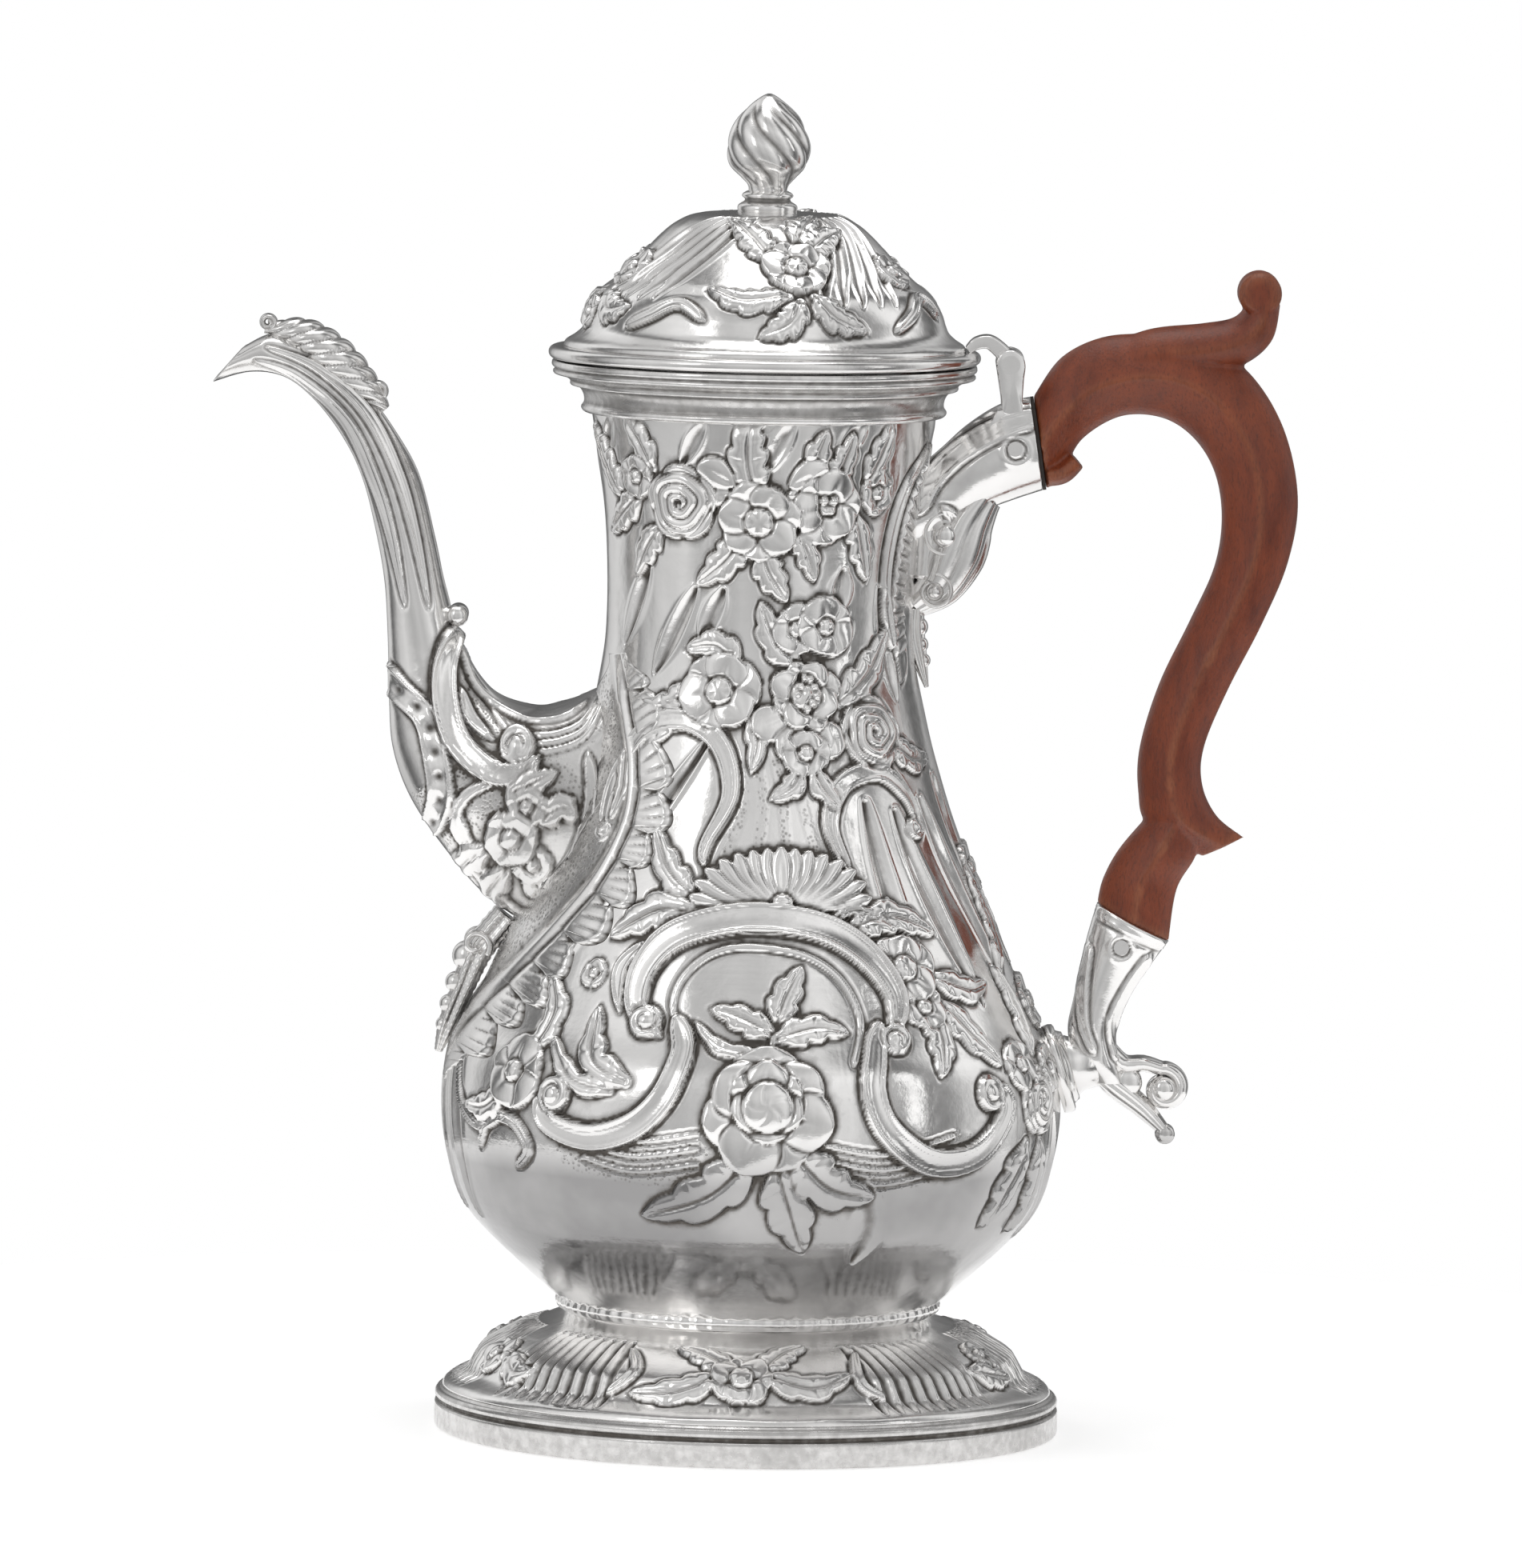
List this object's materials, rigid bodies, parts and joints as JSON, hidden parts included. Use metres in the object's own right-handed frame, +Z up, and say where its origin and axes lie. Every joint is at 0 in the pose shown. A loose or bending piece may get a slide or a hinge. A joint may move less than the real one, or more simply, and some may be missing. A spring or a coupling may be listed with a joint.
{
  "type": "coffee pot",
  "caption": "Baluster coffee pot on a spreading foot, chased with flowers and scrolls, with a curved spout, a hinged domed lid and a carved wooden scroll handle.",
  "frame": {"origin": "centre of the foot ring's standing face, on the axis of the body", "axes": "+Z up along the body's axis, +X towards the handle, -X towards the spout, +Y to the pot's left seen from the spout"},
  "size_m": [0.2186, 0.126, 0.27],
  "materials": {
    "silver": "polished, with dark recesses",
    "fruitwood": "waxed satin",
    "cement": "matt"
  },
  "bodies": {
    "pot": {"body_shell": "silver", "mouth_moulding": "silver", "foot": "silver", "foot_rim": "silver", "foot_collar": "silver", "spout": "silver", "spout_crest": "silver", "spout_scroll": "silver", "spout_collar": "silver", "spout_frill": "silver", "spout_drop": "silver", "handle": "fruitwood", "cement_line": "cement", "upper_socket": "silver", "upper_socket_scroll": "silver", "upper_socket_drop": "silver", "upper_pin": "silver", "lower_socket": "silver", "lower_socket_boss": "silver", "lower_socket_scroll": "silver", "lower_pin": "silver", "hinge_bracket": "silver", "hinge_pin": "silver"},
    "lid": {"hinge_leaf": "silver", "lid_flange": "silver", "lid_bezel": "silver", "lid_dome": "silver", "finial_collar": "silver", "finial": "silver", "finial_nut": "silver"}
  },
  "joints": [
    {"name": "lid_hinge", "type": "hinge", "parent": "pot", "child": "lid", "pos_m": [0.0494, 0, 0.2167], "axis": [0, 1, 0], "range_deg": [0, 100]}
  ]
}
